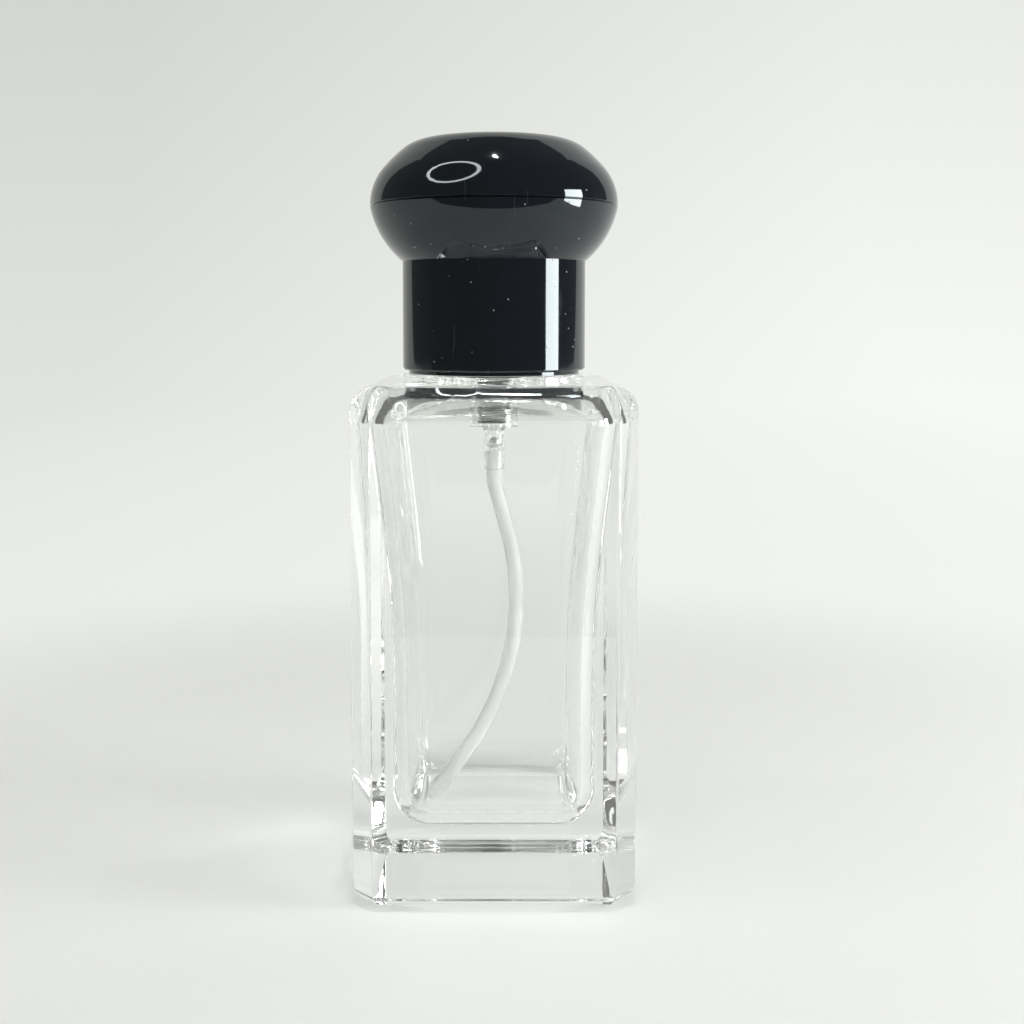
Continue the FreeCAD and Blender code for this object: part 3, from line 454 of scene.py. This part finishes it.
def paper_material():
    """Matt paper for the shadow, with a share of plain pale colour for the rays that look at it."""
    tree = Tree("paper")
    matt = tree.add("ShaderNodeBsdfDiffuse")
    matt.inputs["Color"].default_value = PAPER_MATT
    paper_painted_light = tree.add("ShaderNodeEmission")
    # Painted light and shade: the plain colour is paler to the right, by the panel lamp, and dimmer towards
    # the top
    across = tree.ramp(tree.part("Object", "X"), PAPER_ACROSS)
    tree.join(tree.blend(across, PAPER_LEFT_PAINTED_SHADE, PAPER_RIGHT_PAINTED_LIGHT), paper_painted_light.inputs["Color"])
    strength = tree.ramp(tree.part("Object", "Z"), PAPER_HEIGHTS, PAINTED_SHADE_STRENGTHS)
    tree.join(strength, paper_painted_light.inputs["Strength"])
    rays = tree.add("ShaderNodeLightPath").outputs
    looked_at = tree.combine("MAXIMUM", rays["Is Camera Ray"], rays["Is Glossy Ray"])
    looked_at = tree.combine("MAXIMUM", looked_at, rays["Is Transmission Ray"])
    # The share is small round the bottle, so that the shadow shows, and large further off. It is large
    # right under the bottle too, as a painted pool of light for the lamp light that hardly gets through the
    # glass there
    length = tree.add("ShaderNodeVectorMath", operation="LENGTH")
    tree.join(tree.places(), length.inputs[0])
    away = length.outputs["Value"]
    further_off = tree.ramp(away, SHADOW_DISTANCES, SHADOW_SHARES, smooth=True)
    painted_pool_under_glass = tree.ramp(away, PAINTED_POOL_DISTANCES, PAINTED_POOL_SHARES, smooth=True)
    share = tree.combine("MULTIPLY", looked_at, tree.combine("MAXIMUM", further_off, painted_pool_under_glass))
    mixed = tree.add("ShaderNodeMixShader")
    tree.join(share, mixed.inputs["Fac"])
    tree.join(matt.outputs["BSDF"], mixed.inputs[1])
    tree.join(paper_painted_light.outputs["Emission"], mixed.inputs[2])
    tree.join(mixed.outputs["Shader"], tree.output.inputs["Surface"])
    return tree.material


def lay_sheet(name, profile, material):
    sheet = bpy.data.objects.new(name, sheet_mesh(name, profile))
    sheet.data.materials.append(material)
    scene.collection.objects.link(sheet)
    return sheet


paper = paper_material()
lay_sheet("paper", paper_profile(), paper)
front_sheet = lay_sheet("front_sheet", [(FRONT_SHEET_END, 0.0), (PAPER_FRONT, 0.0)], paper)
# The cap mirrors a dim room in front of the paper, as in the photo
front_sheet.visible_glossy = False

# Light: a dim room, a low panel on the right, a small lamp overhead and a ring lamp at the front left.
# LIT is the point in the cap that the last two are placed round. Angles are in degrees, powers in watts
LIT = Vector((0, 0, 0.087))
ROOM_COLOUR = (0.98, 1.0, 0.97, 1)
ROOM_LIGHT = 0.16
ROOM_SEEN = 0.85
PANEL_AZIMUTH = 75.8
PANEL_AWAY = 0.29
PANEL_WIDTH = 0.1
PANEL_HEIGHT = 0.165
PANEL_LIFT = 2 * MM
PANEL_POWER = 0.93
OVERHEAD_AZIMUTH = 10
OVERHEAD_ELEVATION = 85
OVERHEAD_AWAY = 1.0
OVERHEAD_WIDTH = 0.05
OVERHEAD_LENGTH = 0.14
OVERHEAD_POWER = 3.7
RING_AZIMUTH = -49
RING_ELEVATION = 48
RING_AWAY = 0.5
RING_RADIUS = 0.181
RING_TUBE_RADIUS = 0.014
RING_STEPS = 64
RING_TUBE_SIDES = 10
RING_STRENGTH = 10.0


def room_world():
    """The room round the paper: dim as light, and pale where the camera looks past the paper."""
    world = bpy.data.worlds.new("room")
    world.use_nodes = True
    tree = world.node_tree
    room = tree.nodes["Background"]
    room.inputs["Color"].default_value = ROOM_COLOUR
    rays = tree.nodes.new("ShaderNodeLightPath")
    seen = tree.nodes.new("ShaderNodeMapRange")
    seen.inputs["To Min"].default_value = ROOM_LIGHT
    seen.inputs["To Max"].default_value = ROOM_SEEN
    tree.links.new(rays.outputs["Is Camera Ray"], seen.inputs["Value"])
    tree.links.new(seen.outputs["Result"], room.inputs["Strength"])
    return world


def towards(azimuth, elevation):
    """A direction from the object: azimuth 0 is the camera's side and 90 the right, in degrees."""
    turn = math.radians(azimuth)
    rise = math.radians(elevation)
    level = Vector((math.sin(turn), -math.cos(turn), 0))
    return level * math.cos(rise) + UP * math.sin(rise)


def add_lamp(name, shape, place, aim, size, power):
    """An area lamp that shines along aim, and that the camera doesn't see."""
    light = bpy.data.lights.new(name, "AREA")
    light.shape = shape
    light.size, light.size_y = size
    light.energy = power
    lamp = bpy.data.objects.new(name, light)
    lamp.location = place
    lamp.rotation_euler = aim.to_track_quat("-Z", "Y").to_euler()
    lamp.visible_camera = False
    scene.collection.objects.link(lamp)


def add_panel():
    out = towards(PANEL_AZIMUTH, 0)
    place = out * PANEL_AWAY + UP * (PANEL_HEIGHT / 2 + PANEL_LIFT)
    add_lamp("panel", "RECTANGLE", place, -out, (PANEL_WIDTH, PANEL_HEIGHT), PANEL_POWER)


def add_overhead():
    out = towards(OVERHEAD_AZIMUTH, OVERHEAD_ELEVATION)
    size = (OVERHEAD_WIDTH, OVERHEAD_LENGTH)
    add_lamp("overhead", "ELLIPSE", LIT + out * OVERHEAD_AWAY, -out, size, OVERHEAD_POWER)


def glow_material():
    tree = Tree("ring_lamp")
    glow = tree.add("ShaderNodeEmission")
    glow.inputs["Strength"].default_value = RING_STRENGTH
    tree.join(glow.outputs["Emission"], tree.output.inputs["Surface"])
    return tree.material


def add_ring_lamp():
    ways = [around(step / RING_STEPS) for step in range(RING_STEPS)]
    path = [(outwards * RING_RADIUS, outwards) for outwards in ways]
    mesh = tube_mesh("ring_lamp", path, RING_TUBE_RADIUS, RING_TUBE_SIDES, closed=True)
    out = towards(RING_AZIMUTH, RING_ELEVATION)
    lamp = bpy.data.objects.new("ring_lamp", mesh)
    lamp.data.materials.append(glow_material())
    lamp.location = LIT + out * RING_AWAY
    lamp.rotation_euler = out.to_track_quat("Z", "Y").to_euler()
    scene.collection.objects.link(lamp)


scene.world = room_world()
add_panel()
add_overhead()
add_ring_lamp()

scene.view_settings.view_transform = "Standard"
# Light runs round many times inside the thick glass, and all of it reaches the tube in there
scene.cycles.blur_glossy = 0.0
scene.cycles.sample_clamp_indirect = 20.0
scene.cycles.max_bounces = 48
scene.cycles.diffuse_bounces = 12
scene.cycles.glossy_bounces = 32
scene.cycles.transmission_bounces = 32
